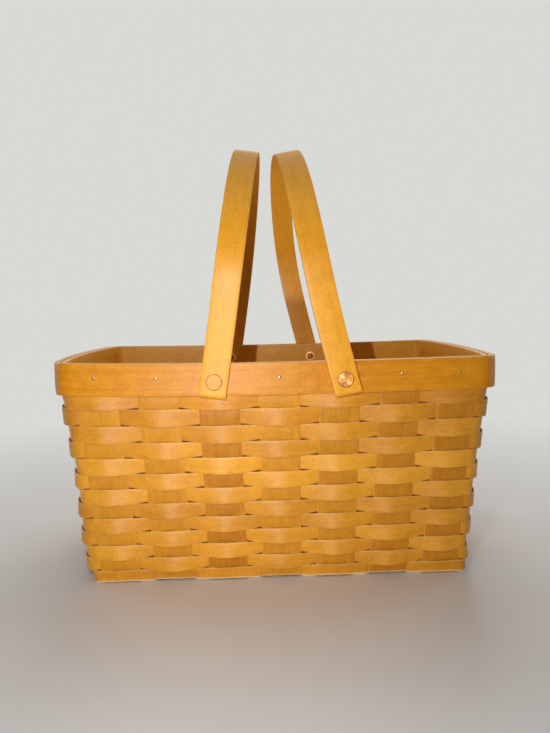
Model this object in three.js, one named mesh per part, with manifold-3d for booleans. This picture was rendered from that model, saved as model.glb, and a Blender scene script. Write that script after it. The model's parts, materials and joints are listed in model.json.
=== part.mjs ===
import * as THREE from "three";
import { mergeVertices } from "three/addons/utils/BufferGeometryUtils.js";
import Module from "manifold-3d";

const wasm = await Module();
wasm.setup();

// Overall sizes in millimetres, measured over the outer rim band
const rimLength = 381;
const rimWidth = 254;
const rimHeight = 190.5;

// Plan of the basket at the floor, measured over the weavers
const baseLength = 324;
const baseWidth = 198.6;

// Gap left between pieces that touch on the real basket
const clearance = 0.3;

// Splints: uprights run under the base and up two walls, weavers run round the walls
const splintThickness = 1.4;
const uprightWidth = 33;
const sideUprights = 7;
const endUprights = 4;
const weaverRows = 13;
const rimRowWidth = 11;
const topWeaverWidth = 14.1;
const lowestWeaverWidth = 11.3;
const floorRowWidth = 5.6;
const edgeBend = 4;

// How far a splint runs straight past the edge of the one it crosses
const baseLap = 0.4;
const weaveLap = 0.8;

// How far the middle of a side stands out past its ends, and the size of the corner curves
const rimEndBow = 6;
const rimSideBow = 4.5;
const rimCornerLength = 14;
const rimCornerWidth = 16;
const baseBow = 1;
const baseCornerLength = 4.2;
const baseCornerWidth = 5.8;

// Rim bands
const outerBandThickness = 4;
const outerBandHeight = 26.3;
const innerBandThickness = 3.2;
const innerBandHeight = 21.5;

// Swing handles: the reach is from the pivot to the top of the arch, the bow is towards the middle
const handleWidth = 22;
const handleThickness = 4.2;
const handleReach = 205;
const handleLegStraight = 80;
const handleTail = 12.5;
const handleGap = 1;
const leftArchX = -21;
const rightArchX = 12.5;
const leftHandleBow = 1.3;
const rightHandleBow = 5;

// Rivets that the handles swing on, shifted outwards from the middle of the handle's upright
const pivotDrop = 15.5;
const frontPivotShift = 2.8;
const backPivotShift = -4.2;
const rivetRadius = 2.5;
const rivetHeadRadius = 6.5;
const rivetHeadHeight = 1.6;
const rivetHeadChamfer = 0.8;
const rivetEyeRadius = 1.7;
const rivetEyeDepth = 6;
const rivetLipReach = 1.3;
const rivetLipHeight = 0.8;
const burrRadius = 5.2;
const burrThickness = 1;
const burrChamfer = 0.3;

// Tacks through the rim at every other upright
const tackDrop = 11.7;
const tackRadius = 0.7;
const tackHeadRadius = 1.3;
const tackHeadHeight = 0.6;
const tackTipReach = 0.8;
const tackTaper = 1.2;

// Steps along curved or twisted pieces
const legSteps = 5;
const bendSteps = 4;
const sideSteps = 8;
const endSteps = 10;
const bandCornerSteps = 5;
const weaverCornerSteps = 4;
const archSteps = 24;
const handleLegSteps = 4;
const rivetFacets = 16;
const tackFacets = 8;

// Colours of the parts, and how they shine
const uprightColour = 0xd6953c;
const weaverColour = 0xe0a04a;
const bandColour = 0xe2a04a;
const handleColour = 0xe0a148;
const copperColour = 0xb5713f;
const tackColour = 0x8a6a3a;
const copperMetalness = 0.9;
const tackMetalness = 0.8;
const metalRoughness = 0.35;
const woodRoughness = 0.6;

// How full the corner curves are, and the step used to find directions on the wall
const cornerFullness = 0.55;
const slopeStep = 1e-3;

// Sizes that follow from the ones above
const halfSplint = splintThickness / 2;
const weaveOffset = splintThickness + clearance;
const bandOffset = halfSplint + clearance;
const baseMiddle = (weaveOffset + splintThickness) / 2;
const wallTop = rimHeight - outerBandHeight;
const rimToWall = outerBandThickness + bandOffset;
const baseToWall = weaveOffset + halfSplint;
const pivotZ = rimHeight - pivotDrop;
const handleY = rimWidth / 2 + handleGap + handleThickness / 2;

// Half sizes of the wall's middle surface at the floor and under the rim
const planAtBase = {
  length: baseLength / 2 - baseToWall,
  width: baseWidth / 2 - baseToWall,
  endBow: baseBow,
  sideBow: baseBow,
  cornerLength: baseCornerLength,
  cornerWidth: baseCornerWidth,
};
const planAtRim = {
  length: rimLength / 2 - rimToWall,
  width: rimWidth / 2 - rimToWall,
  endBow: rimEndBow,
  sideBow: rimSideBow,
  cornerLength: rimCornerLength,
  cornerWidth: rimCornerWidth,
};

// The four sides in turn: front, right end, back, left end
const sides = [
  { name: "front", along: new THREE.Vector2(1, 0), out: new THREE.Vector2(0, -1), count: sideUprights },
  { name: "right", along: new THREE.Vector2(0, 1), out: new THREE.Vector2(1, 0), count: endUprights },
  { name: "back", along: new THREE.Vector2(-1, 0), out: new THREE.Vector2(0, 1), count: sideUprights },
  { name: "left", along: new THREE.Vector2(0, -1), out: new THREE.Vector2(-1, 0), count: endUprights },
];

// The plan of one side at a height on the wall, rise 0 at the floor and 1 under the rim
function sideShape(index, rise) {
  const plan = {};
  for (const key of Object.keys(planAtBase)) {
    plan[key] = THREE.MathUtils.lerp(planAtBase[key], planAtRim[key], rise);
  }
  const long = index % 2 === 0;
  const half = long ? plan.width : plan.length;
  const bow = long ? plan.sideBow : plan.endBow;
  const sideRun = plan.length - plan.endBow - plan.cornerLength;
  const endRun = plan.width - plan.sideBow - plan.cornerWidth;
  const run = long ? sideRun : endRun;
  const lastUpright = run - uprightWidth / 2 - weaveLap;
  const pitch = lastUpright / ((sides[index].count - 1) / 2);
  return { half, bow, run, pitch };
}

// Places of a side's uprights, counted from the middle of the side
function uprightPlaces(index) {
  const count = sides[index].count;
  return Array.from({ length: count }, (_, k) => k - (count - 1) / 2);
}

// A station is a spot on the plan: on a side, at an upright plus a shift, or on a corner curve
function atUpright(side, place, shift = 0) {
  return { side, place, shift };
}

function stationAlong(station, shape) {
  return station.place * shape.pitch + station.shift;
}

function sidePoint(station, rise) {
  const { along, out } = sides[station.side];
  const shape = sideShape(station.side, rise);
  const travel = stationAlong(station, shape);
  const reach = shape.half - shape.bow * (travel / shape.run) ** 2;
  return along.clone().multiplyScalar(travel).addScaledVector(out, reach);
}

// The curve round a corner leaves one side at a station and meets the next side at another
function cornerPoint({ from, to, v }, rise) {
  const start = sidePoint(from, rise);
  const end = sidePoint(to, rise);
  const startSlope = sideSlope(from, rise);
  const endSlope = sideSlope(to, rise);
  const span = end.clone().sub(start);
  const startReach = cornerFullness * span.dot(sides[from.side].along);
  const endReach = cornerFullness * span.dot(sides[to.side].along);
  const startHandle = start.clone().addScaledVector(startSlope, startReach);
  const endHandle = end.clone().addScaledVector(endSlope, -endReach);
  return new THREE.CubicBezierCurve(start, startHandle, endHandle, end).getPoint(v);
}

// The way a bowed side runs at a station, for each millimetre along it
function sideSlope(station, rise) {
  const { along, out } = sides[station.side];
  const shape = sideShape(station.side, rise);
  const fall = (-2 * shape.bow * stationAlong(station, shape)) / shape.run ** 2;
  return along.clone().addScaledVector(out, fall);
}

// The wall leans out up to the rim bands and stands upright between them
function wallPoint(station, rise) {
  const plan = station.from ? cornerPoint(station, rise) : sidePoint(station, rise);
  return new THREE.Vector3(plan.x, plan.y, THREE.MathUtils.lerp(baseMiddle, wallTop, rise));
}

function nudged(station, step) {
  if (station.from) {
    return { ...station, v: station.v + step };
  }
  return { ...station, shift: station.shift + step };
}

// Directions along the wall, up it and out of it at a station
function wallFrame(station, rise) {
  const before = wallPoint(nudged(station, -slopeStep), rise);
  const after = wallPoint(nudged(station, slopeStep), rise);
  const below = wallPoint(station, rise - slopeStep);
  const above = wallPoint(station, rise + slopeStep);
  const along = after.sub(before).normalize();
  const up = above.sub(below).normalize();
  const out = along.clone().cross(up).normalize();
  return { along, up, out };
}

// A spot on the wall between the rim bands, some way below the rim's top
function rimPlace(station, drop) {
  const { along } = wallFrame(station, 1);
  const middle = wallPoint(station, 1).setZ(rimHeight - drop);
  const out = new THREE.Vector3(along.y, -along.x, 0).normalize();
  return { middle, out };
}

// A strip of four-cornered sections, each a middle with half-width and half-thickness vectors
function stripGeometry(sections, closed) {
  const positions = [];
  const index = [];
  const count = sections.length;
  for (const { middle, across, through } of sections) {
    for (const [a, t] of [[-1, -1], [1, -1], [1, 1], [-1, 1]]) {
      const corner = middle.clone().addScaledVector(across, a).addScaledVector(through, t);
      positions.push(corner.x, corner.y, corner.z);
    }
  }
  const spans = closed ? count : count - 1;
  for (let i = 0; i < spans; i += 1) {
    const a = 4 * i;
    const b = 4 * ((i + 1) % count);
    for (let k = 0; k < 4; k += 1) {
      const n = (k + 1) % 4;
      index.push(a + k, a + n, b + n, a + k, b + n, b + k);
    }
  }
  if (!closed) {
    const last = 4 * (count - 1);
    index.push(0, 3, 2, 0, 2, 1);
    index.push(last, last + 1, last + 2, last, last + 2, last + 3);
  }
  const geometry = new THREE.BufferGeometry();
  geometry.setAttribute("position", new THREE.Float32BufferAttribute(positions, 3));
  geometry.setIndex(index);
  return geometry;
}

function solidFrom(geometry) {
  const bare = new THREE.BufferGeometry();
  bare.setAttribute("position", geometry.getAttribute("position"));
  bare.setIndex(geometry.index);
  const merged = mergeVertices(bare, 1e-4);
  const triVerts = new Uint32Array(merged.index.array);
  const vertProperties = merged.getAttribute("position").array;
  return new wasm.Manifold(new wasm.Mesh({ numProp: 3, vertProperties, triVerts }));
}

function geometryFrom(solid) {
  const mesh = solid.getMesh();
  const geometry = new THREE.BufferGeometry();
  geometry.setAttribute("position", new THREE.Float32BufferAttribute(mesh.vertProperties, 3));
  geometry.setIndex(new THREE.BufferAttribute(mesh.triVerts, 1));
  return geometry;
}

// The turn that points a piece made along +Y in another direction
function turnTo(direction) {
  return new THREE.Quaternion().setFromUnitVectors(new THREE.Vector3(0, 1, 0), direction);
}

// Cuts round holes, each with a centre, a direction, a radius, a length and a number of sides
function bored(geometry, holes) {
  let solid = solidFrom(geometry);
  for (const hole of holes) {
    const drill = new THREE.CylinderGeometry(hole.radius, hole.radius, hole.length, hole.facets);
    drill.applyQuaternion(turnTo(hole.axis));
    drill.translate(hole.centre.x, hole.centre.y, hole.centre.z);
    solid = solid.subtract(solidFrom(drill));
  }
  return geometryFrom(solid);
}

const basket = new THREE.Group();
basket.name = "market_basket";

function addPart(name, geometry, colour, metalness = 0) {
  const flat = geometry.toNonIndexed();
  flat.computeVertexNormals();
  const roughness = metalness > 0 ? metalRoughness : woodRoughness;
  const material = new THREE.MeshStandardMaterial({ color: colour, metalness, roughness });
  const mesh = new THREE.Mesh(flat, material);
  mesh.name = name;
  basket.add(mesh);
  return mesh;
}

// The handles, each at an upright counted from the middle one
const handles = [
  { side: "left", place: -1, archX: leftArchX, bow: leftHandleBow },
  { side: "right", place: 1, archX: rightArchX, bow: rightHandleBow },
];

function pivotX(place, shift) {
  return place * sideShape(0, 1).pitch + Math.sign(place) * shift;
}

// Where the fasteners go: rivets at the handles' uprights, tacks at all the others
const pivots = handles.flatMap(({ side, place }) => [
  { name: `front_${side}`, x: pivotX(place, frontPivotShift), out: new THREE.Vector3(0, -1, 0) },
  { name: `back_${side}`, x: pivotX(place, backPivotShift), out: new THREE.Vector3(0, 1, 0) },
]);
const tacks = sides.flatMap((side, index) => {
  const long = index % 2 === 0;
  const bare = (place) => !long || !handles.some((handle) => handle.place === place);
  const places = uprightPlaces(index).filter(bare);
  return places.map((place, k) => {
    const { middle, out } = rimPlace(atUpright(index, place), tackDrop);
    return { name: `tack_${side.name}_${k + 1}`, middle, out };
  });
});

// Holes through the rim for the rivets and tacks
const rimDepth = 2 * (outerBandThickness + innerBandThickness + splintThickness) + handleThickness;
const rivetHoles = pivots.map((pivot) => ({
  centre: new THREE.Vector3(pivot.x, pivot.out.y * (rimWidth / 2), pivotZ),
  axis: pivot.out,
  radius: rivetRadius + clearance,
  length: 2 * rimDepth,
  facets: rivetFacets,
}));
const tackHoles = tacks.map((tack) => ({
  centre: tack.middle,
  axis: tack.out,
  radius: tackRadius + clearance,
  length: rimDepth,
  facets: tackFacets,
}));
const rimHoles = [...rivetHoles, ...tackHoles];

// Weaver rows fill the wall from the bend at the floor up to the outer band. They get narrower
// towards the floor, and the rows at the rim and at the floor are narrower still.
const wallLean = Math.hypot(wallTop - baseMiddle, planAtRim.width - planAtBase.width);
const rowsLength = wallLean - edgeBend - clearance - weaverRows * clearance;
const rows = Array.from({ length: weaverRows }, (_, k) => k + 1);

function plainWidth(row) {
  if (row === 1) {
    return rimRowWidth;
  }
  if (row === weaverRows) {
    return floorRowWidth;
  }
  return THREE.MathUtils.lerp(topWeaverWidth, lowestWeaverWidth, (row - 2) / (weaverRows - 3));
}

// The rows close up or open out together to fit the wall
const rowFit = rowsLength / rows.reduce((length, row) => length + plainWidth(row), 0);

function weaverWidth(row) {
  return rowFit * plainWidth(row);
}

// Height of the middle of a row above the floor, measured up the wall
function rowHeight(row) {
  const below = rows.filter((other) => other > row);
  const start = edgeBend + (clearance + weaverWidth(row)) / 2;
  return below.reduce((height, other) => height + clearance + weaverWidth(other), start);
}

// A weaver ring goes over one upright and under the next, the other way round in the next row
function weaver(row) {
  const rise = rowHeight(row) / wallLean;
  const reach = uprightWidth / 2 + weaveLap;
  const stations = [];
  let over = row % 2 === 1 ? 1 : -1;
  sides.forEach((_, side) => {
    for (const place of uprightPlaces(side)) {
      stations.push({ ...atUpright(side, place, -reach), offset: over * weaveOffset });
      stations.push({ ...atUpright(side, place, reach), offset: over * weaveOffset });
      over = -over;
    }
    const next = (side + 1) % sides.length;
    const from = atUpright(side, uprightPlaces(side).at(-1), reach);
    const to = atUpright(next, uprightPlaces(next)[0], -reach);
    for (let k = 1; k < weaverCornerSteps; k += 1) {
      const v = k / weaverCornerSteps;
      stations.push({ from, to, v, offset: -over * weaveOffset * (1 - 2 * v) });
    }
  });
  const sections = stations.map((station) => {
    const { up, out } = wallFrame(station, rise);
    return {
      middle: wallPoint(station, rise).addScaledVector(out, station.offset),
      across: up.multiplyScalar(weaverWidth(row) / 2),
      through: out.multiplyScalar(halfSplint),
    };
  });
  return stripGeometry(sections, true);
}

// One leg of an upright, from the rim down to the end of the bend under the wall
function legPath(side, place) {
  const station = atUpright(side, place);
  const knee = wallPoint(station, 1);
  const foot = wallPoint(station, 0);
  const { along, up } = wallFrame(station, 0);
  const inward = new THREE.Vector3(-sides[side].out.x, -sides[side].out.y, 0);
  const normal = inward.clone().addScaledVector(up, -inward.dot(up)).normalize();
  const sweep = Math.PI - up.angleTo(inward);
  const tangent = edgeBend * Math.tan(sweep / 2);
  const rimAcross = wallFrame(station, 1).along;
  const path = [{ point: knee.clone().setZ(rimHeight), across: rimAcross }];
  for (let k = 0; k < legSteps; k += 1) {
    const rise = 1 - k / legSteps;
    path.push({ point: wallPoint(station, rise), across: wallFrame(station, rise).along });
  }
  for (let k = 0; k <= bendSteps; k += 1) {
    const angle = (sweep * k) / bendSteps;
    const point = foot.clone().addScaledVector(up, tangent - edgeBend * Math.sin(angle));
    point.addScaledVector(normal, edgeBend * (1 - Math.cos(angle)));
    path.push({ point, across: along });
  }
  return path;
}

// The run across the base passes over one crossing splint and under the next
function basePath(side, place, firstLevel) {
  const { along, out } = sides[side];
  const crossing = (side + 1) % 2;
  const crossPitch = sideShape(crossing, 0).pitch;
  const lateral = sideShape(side, 0).pitch * place;
  const path = [];
  let level = firstLevel;
  for (const crossed of uprightPlaces(crossing)) {
    for (const edge of [-1, 1]) {
      const travel = crossPitch * crossed + edge * (uprightWidth / 2 + baseLap);
      const plan = along.clone().multiplyScalar(lateral).addScaledVector(out, -travel);
      const point = new THREE.Vector3(plan.x, plan.y, baseMiddle + (level * weaveOffset) / 2);
      path.push({ point, across: new THREE.Vector3(along.x, along.y, 0) });
    }
    level = -level;
  }
  return path;
}

// An upright goes down one wall, across the base and up the other wall in one piece
function upright(side, place, firstLevel) {
  const rising = legPath((side + 2) % sides.length, -place)
    .reverse()
    .map(({ point, across }) => ({ point, across: across.clone().negate() }));
  const path = [...legPath(side, place), ...basePath(side, place, firstLevel), ...rising];
  const last = path.length - 1;
  const sections = path.map(({ point, across }, k) => {
    const before = point.clone().sub(path[Math.max(k - 1, 0)].point);
    const after = path[Math.min(k + 1, last)].point.clone().sub(point);
    const miter = k > 0 && k < last ? before.angleTo(after) / 2 : 0;
    const travel = before.normalize().add(after.normalize()).normalize();
    const through = travel.cross(across).normalize();
    return {
      middle: point,
      across: across.clone().multiplyScalar(uprightWidth / 2),
      through: through.multiplyScalar(halfSplint / Math.cos(miter)),
    };
  });
  const tops = [path[0].point, path[last].point];
  const near = rimHoles.filter((hole) => tops.some((top) => top.distanceTo(hole.centre) < uprightWidth));
  return bored(stripGeometry(sections, false), near);
}

// A rim band is a closed ring round the wall, standing upright, from one offset to another
function rimBand(inner, outer, height) {
  const stations = [];
  sides.forEach((_, side) => {
    const next = (side + 1) % sides.length;
    const end = sideShape(side, 1).run;
    const steps = side % 2 === 0 ? sideSteps : endSteps;
    for (let k = 0; k <= steps; k += 1) {
      stations.push(atUpright(side, 0, end * ((2 * k) / steps - 1)));
    }
    const from = atUpright(side, 0, end);
    const to = atUpright(next, 0, -sideShape(next, 1).run);
    for (let k = 1; k < bandCornerSteps; k += 1) {
      stations.push({ from, to, v: k / bandCornerSteps });
    }
  });
  const sections = stations.map((station) => {
    const { middle, out } = rimPlace(station, height / 2);
    return {
      middle: middle.addScaledVector(out, (inner + outer) / 2),
      across: new THREE.Vector3(0, 0, height / 2),
      through: out.multiplyScalar((outer - inner) / 2),
    };
  });
  return bored(stripGeometry(sections, true), rimHoles);
}

// A handle has two legs and a round arch, made upright with its pivot axis on Y and bowed along X
function handle(bow) {
  const archRise = handleReach - handleThickness / 2 - handleLegStraight;
  const bowed = (y, z) => new THREE.Vector3(bow * Math.sin((Math.PI * z) / handleReach), y, z);
  const path = [];
  for (let k = 0; k < handleLegSteps; k += 1) {
    const z = THREE.MathUtils.lerp(-handleTail, handleLegStraight, k / handleLegSteps);
    path.push(bowed(-handleY, z));
  }
  for (let k = 0; k <= archSteps; k += 1) {
    const angle = (Math.PI * k) / archSteps;
    path.push(bowed(-handleY * Math.cos(angle), handleLegStraight + archRise * Math.sin(angle)));
  }
  for (let k = handleLegSteps - 1; k >= 0; k -= 1) {
    const z = THREE.MathUtils.lerp(-handleTail, handleLegStraight, k / handleLegSteps);
    path.push(bowed(handleY, z));
  }
  const across = new THREE.Vector3(1, 0, 0);
  const last = path.length - 1;
  const sections = path.map((point, k) => {
    const travel = path[Math.min(k + 1, last)].clone().sub(path[Math.max(k - 1, 0)]);
    return {
      middle: point,
      across: across.clone().multiplyScalar(handleWidth / 2),
      through: travel.cross(across).setLength(handleThickness / 2),
    };
  });
  const hole = {
    centre: new THREE.Vector3(0, 0, 0),
    axis: new THREE.Vector3(0, 1, 0),
    radius: rivetRadius + clearance,
    length: 2 * rimWidth,
    facets: rivetFacets,
  };
  return bored(stripGeometry(sections, false), [hole]);
}

// Turned pieces are made along +Y, from the inside of the basket outwards
function turned(profile, facets) {
  const points = profile.map(([radius, along]) => new THREE.Vector2(radius, along));
  return geometryFrom(solidFrom(new THREE.LatheGeometry(points, facets)));
}

// Seats along a rivet, measured outwards from the wall's middle surface
const wallAtPivot = -wallPoint(atUpright(0, handles[1].place, frontPivotShift), 1).y;
const headSeat = handleY + handleThickness / 2 + clearance - wallAtPivot;
const burrSeat = -bandOffset - innerBandThickness - clearance;
const lipSeat = burrSeat - burrThickness - clearance;

// A rivet has a flat head outside the handle, a solid shank and a tube end rolled over inside
function rivet() {
  const tip = lipSeat - rivetLipHeight;
  const headTop = headSeat + rivetHeadHeight;
  const lipRadius = rivetRadius + rivetLipReach;
  const eyeFlare = (rivetRadius - rivetEyeRadius) / 2;
  return turned(
    [
      [0, tip + rivetEyeDepth],
      [rivetEyeRadius, tip + rivetEyeDepth],
      [rivetEyeRadius, tip + rivetLipHeight],
      [rivetEyeRadius + eyeFlare, tip],
      [lipRadius - eyeFlare, tip],
      [lipRadius, lipSeat],
      [rivetRadius, lipSeat],
      [rivetRadius, headSeat],
      [rivetHeadRadius, headSeat],
      [rivetHeadRadius, headTop - rivetHeadChamfer],
      [rivetHeadRadius - rivetHeadChamfer, headTop],
      [0, headTop],
    ],
    rivetFacets,
  );
}

// A burr is the washer under the rolled end of a rivet
function burr() {
  const hole = rivetRadius + clearance;
  const inside = burrSeat - burrThickness;
  return turned(
    [
      [hole, burrSeat],
      [hole, inside],
      [burrRadius - burrChamfer, inside],
      [burrRadius, inside + burrChamfer],
      [burrRadius, burrSeat],
      [hole, burrSeat],
    ],
    rivetFacets,
  );
}

// A tack has a domed head on the outer band and a point that just comes through the inner one
function tack() {
  const seat = bandOffset + outerBandThickness + clearance;
  const tip = -bandOffset - innerBandThickness - tackTipReach;
  return turned(
    [
      [0, tip],
      [tackRadius, tip + tackTaper],
      [tackRadius, seat],
      [tackHeadRadius, seat],
      [tackHeadRadius / Math.SQRT2, seat + tackHeadHeight / Math.SQRT2],
      [0, seat + tackHeadHeight],
    ],
    tackFacets,
  );
}

// The woven basket
uprightPlaces(0).forEach((place, k) => {
  addPart(`cross_upright_${k + 1}`, upright(0, place, (-1) ** k), uprightColour);
});
uprightPlaces(3).forEach((place, k) => {
  addPart(`long_upright_${k + 1}`, upright(3, place, (-1) ** k), uprightColour);
});
rows.forEach((row) => {
  addPart(`weaver_${String(row).padStart(2, "0")}`, weaver(row), weaverColour);
});

// The rim
const outerFace = bandOffset + outerBandThickness;
const innerFace = bandOffset + innerBandThickness;
addPart("outer_rim_band", rimBand(bandOffset, outerFace, outerBandHeight), bandColour);
addPart("inner_rim_band", rimBand(-innerFace, -bandOffset, innerBandHeight), bandColour);
tacks.forEach(({ name, middle, out }) => {
  const mesh = addPart(name, tack(), tackColour, tackMetalness);
  mesh.position.copy(middle);
  mesh.quaternion.copy(turnTo(out));
});

// The handles, leant in over the basket and turned to the line between their front and back rivets
handles.forEach(({ side, place, archX, bow }) => {
  const inward = -Math.sign(place);
  const mesh = addPart(`handle_${side}`, handle(inward * bow), handleColour);
  const frontX = pivotX(place, frontPivotShift);
  const backX = pivotX(place, backPivotShift);
  const middleX = (frontX + backX) / 2;
  const lean = Math.asin((archX - middleX) / handleReach);
  const turn = Math.asin((frontX - backX) / (2 * handleY));
  mesh.position.set(middleX, 0, pivotZ);
  mesh.rotation.set(0, lean, turn, "ZYX");
});

// The rivets that the handles swing on, and the burrs inside
pivots.forEach(({ name, x, out }) => {
  for (const [kind, make] of [["rivet", rivet], ["burr", burr]]) {
    const mesh = addPart(`${kind}_${name}`, make(), copperColour, copperMetalness);
    mesh.position.set(x, out.y * wallAtPivot, pivotZ);
    mesh.quaternion.copy(turnTo(out));
  }
});

export default basket;
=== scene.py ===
import json
import math

import bmesh
import bpy
import numpy as np
from mathutils import Matrix, Vector


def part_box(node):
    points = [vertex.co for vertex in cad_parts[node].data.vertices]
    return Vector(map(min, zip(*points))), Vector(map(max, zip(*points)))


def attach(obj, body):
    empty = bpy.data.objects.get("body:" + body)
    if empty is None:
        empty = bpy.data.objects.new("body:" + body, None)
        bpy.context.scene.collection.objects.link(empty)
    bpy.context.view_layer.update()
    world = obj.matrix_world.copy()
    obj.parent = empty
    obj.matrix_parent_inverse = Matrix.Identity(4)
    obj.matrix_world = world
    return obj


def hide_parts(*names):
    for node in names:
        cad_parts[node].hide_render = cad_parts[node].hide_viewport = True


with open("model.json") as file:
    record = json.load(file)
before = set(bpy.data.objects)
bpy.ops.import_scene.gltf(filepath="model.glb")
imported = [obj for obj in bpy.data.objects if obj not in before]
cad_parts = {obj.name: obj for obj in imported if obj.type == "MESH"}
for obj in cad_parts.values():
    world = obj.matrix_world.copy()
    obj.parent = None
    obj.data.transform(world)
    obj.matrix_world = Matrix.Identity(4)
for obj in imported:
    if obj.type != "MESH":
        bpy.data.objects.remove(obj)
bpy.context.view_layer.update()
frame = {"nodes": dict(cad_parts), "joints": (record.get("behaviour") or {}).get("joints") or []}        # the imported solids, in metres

chance = np.random.default_rng(11)
mm = 0.001
print("frame: %d solids" % len(frame["nodes"]))


# The wall: half sizes of the splints' middle surface at the floor and under the rim bands
bandLow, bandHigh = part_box("outer_rim_band")
wall = dict(
    floor=dict(length=159.6*mm, width=96.9*mm, endBow=1*mm, sideBow=1*mm,
               cornerLength=4.2*mm, cornerWidth=5.8*mm),
    rim=dict(length=bandHigh.x - 5*mm, width=bandHigh.y - 5*mm, endBow=6*mm, sideBow=4.5*mm,
             cornerLength=14*mm, cornerWidth=16*mm),
    floorZ=1.55*mm, topZ=bandLow.z, rimZ=bandHigh.z,
    uprightWidth=33*mm, lap=0.8*mm, cornerFullness=0.55,
)
sideNames = ("front", "right", "back", "left")
sideAlong = np.array([[1, 0], [0, 1], [-1, 0], [0, -1]], float)
sideOut = np.array([[0, -1], [1, 0], [0, 1], [-1, 0]], float)
sideCount = [7, 4, 7, 4]               # uprights on each side
sideFirst = [sum(sideCount[:side]) for side in range(4)]       # its first one, counted all the way round
wallHeight = wall["topZ"] - wall["floorZ"]
wallLean = math.hypot(wallHeight, wall["rim"]["width"] - wall["floor"]["width"])
weaverRows = 13


def eased(x):                          # 0 to 1 with flat ends: 3x^2 - 2x^3
    x = np.clip(x, 0, 1)
    return x*x*(3 - 2*x)


def unit(v):
    return v/np.linalg.norm(v, axis=-1, keepdims=True)


# Each side is fuller low down: its belly has a share at the floor, is full at a low rise and then fades
belly = dict(front=2*mm, right=2.5*mm, back=2*mm, left=5*mm,
             atFloor=0.6, fullRise=0.1, fadeFrom=0.15, fadeOver=0.5)


# Sizes of one side at a rise of 0 at the floor to 1 under the rim: each grows in a straight line
def sideShape(side, rise):
    size = {k: wall["floor"][k] + (wall["rim"][k] - wall["floor"][k])*rise for k in wall["floor"]}
    isLong = side % 2 == 0
    swollen = belly["atFloor"] + (1 - belly["atFloor"])*eased(rise/belly["fullRise"])
    swollen = swollen*(1 - eased((rise - belly["fadeFrom"])/belly["fadeOver"]))
    half = (size["width"] if isLong else size["length"]) + belly[sideNames[side]]*swollen
    bow = size["sideBow"] if isLong else size["endBow"]
    sideRun = size["length"] - size["endBow"] - size["cornerLength"]
    endRun = size["width"] - size["sideBow"] - size["cornerWidth"]
    run = sideRun if isLong else endRun
    pitch = (run - wall["uprightWidth"]/2 - wall["lap"])/((sideCount[side] - 1)/2)
    return half, bow, run, pitch


# Plan of a side: along it by the travel, and out by the half size less a parabola that is the bow
def sidePlan(side, travel, rise):
    half, bow, run, _ = sideShape(side, rise)
    reach = half - bow*(travel/run)**2
    fall = -2*bow*travel/run**2
    point = travel[..., None]*sideAlong[side] + reach[..., None]*sideOut[side]
    heading = sideAlong[side] + fall[..., None]*sideOut[side]
    return point, heading


# Plan of a ring: along each side, then a cubic Bezier curve round the corner to the next one.
# The phase goes up by one from each upright to the next.
def ringPlan(rise, step, cornerSteps):
    plans, phases = [], []
    for side in range(4):
        after = (side + 1) % 4
        _, _, run, pitch = sideShape(side, rise)
        travel = np.linspace(-1, 1, int(2*sideShape(side, 1)[2]/step))[:, None]*run
        plan, heading = sidePlan(side, travel, rise)
        phase = sideFirst[side] + (sideCount[side] - 1)/2 + travel/pitch
        _, _, nextRun, nextPitch = sideShape(after, rise)
        nextPlan, nextHeading = sidePlan(after, -nextRun, rise)
        nextFirst = sideFirst[after] or sum(sideCount)
        nextPhase = nextFirst + (sideCount[after] - 1)/2 - nextRun/nextPitch
        span = nextPlan - plan[-1]
        leave = plan[-1] + wall["cornerFullness"]*(span @ sideAlong[side])[:, None]*heading[-1]
        meet = nextPlan - wall["cornerFullness"]*(span @ sideAlong[after])[:, None]*nextHeading
        v = np.linspace(0, 1, cornerSteps)[1:-1, None]
        w = v[..., None]
        corner = (1 - w)**3*plan[-1] + 3*(1 - w)**2*w*leave + 3*(1 - w)*w**2*meet + w**3*nextPlan
        plans += [plan, corner]
        phases += [phase, phase[-1] + v*(nextPhase - phase[-1])]
    return np.concatenate(plans), np.concatenate(phases)


# Ring of points on the wall, with the way out of it: the cross product of the ways along and up
def wallRing(rise, step, cornerSteps):
    nudge = 0.01                       # of rise, to find the way up

    def placed(height):
        plan, phase = ringPlan(np.minimum(height, 1), step, cornerSteps)
        z = np.broadcast_to(wall["floorZ"] + height*wallHeight, phase.shape)
        return np.concatenate([plan, z[..., None]], -1), phase
    points, phase = placed(rise)
    along = np.roll(points, -1, 0) - np.roll(points, 1, 0)
    up = placed(rise + nudge)[0] - placed(rise - nudge)[0]
    return points, unit(np.cross(along, up)), phase


# How the basket has settled: the base lifts in its middle by 1 less the product of the squared shares
# of length and width, the rim dips by a parabola along its length whose ends rise unequally, and the
# right end is drawn in, most at the front
warp = dict(
    crown=0.6*mm, crownFade=60*mm,
    rimSag=1.2*mm, rimLift=2*mm, rimSlope=0.3*mm, rimTwist=0.5*mm, rimFrom=60*mm, rimOver=120*mm,
    tuck=3.2*mm, tuckSkew=0.25, tuckFrom=100*mm, tuckOver=80*mm, tuckLow=5*mm, tuckRise=20*mm,
)


def settled(points):
    x, y, z = points[..., 0], points[..., 1], points[..., 2]
    share = (x/wall["floor"]["length"])**2*(y/wall["floor"]["width"])**2
    along, across = x/wall["rim"]["length"], y/wall["rim"]["width"]
    low = np.clip(1 - z/warp["crownFade"], 0, 1)**2
    high = eased((z - warp["rimFrom"])/warp["rimOver"])
    ends = warp["rimLift"] - warp["rimSlope"]*along + warp["rimTwist"]*along*across
    dip = ends*along**2 - warp["rimSag"]
    drawn = eased((x - warp["tuckFrom"])/warp["tuckOver"])*eased((z - warp["tuckLow"])/warp["tuckRise"])
    tuck = warp["tuck"]*drawn*(1 - warp["tuckSkew"] - warp["tuckSkew"]*across)
    lift = warp["crown"]*np.clip(1 - share, 0, 1)*low + dip*high
    return np.stack([x - tuck, y, z + lift], -1)


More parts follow.
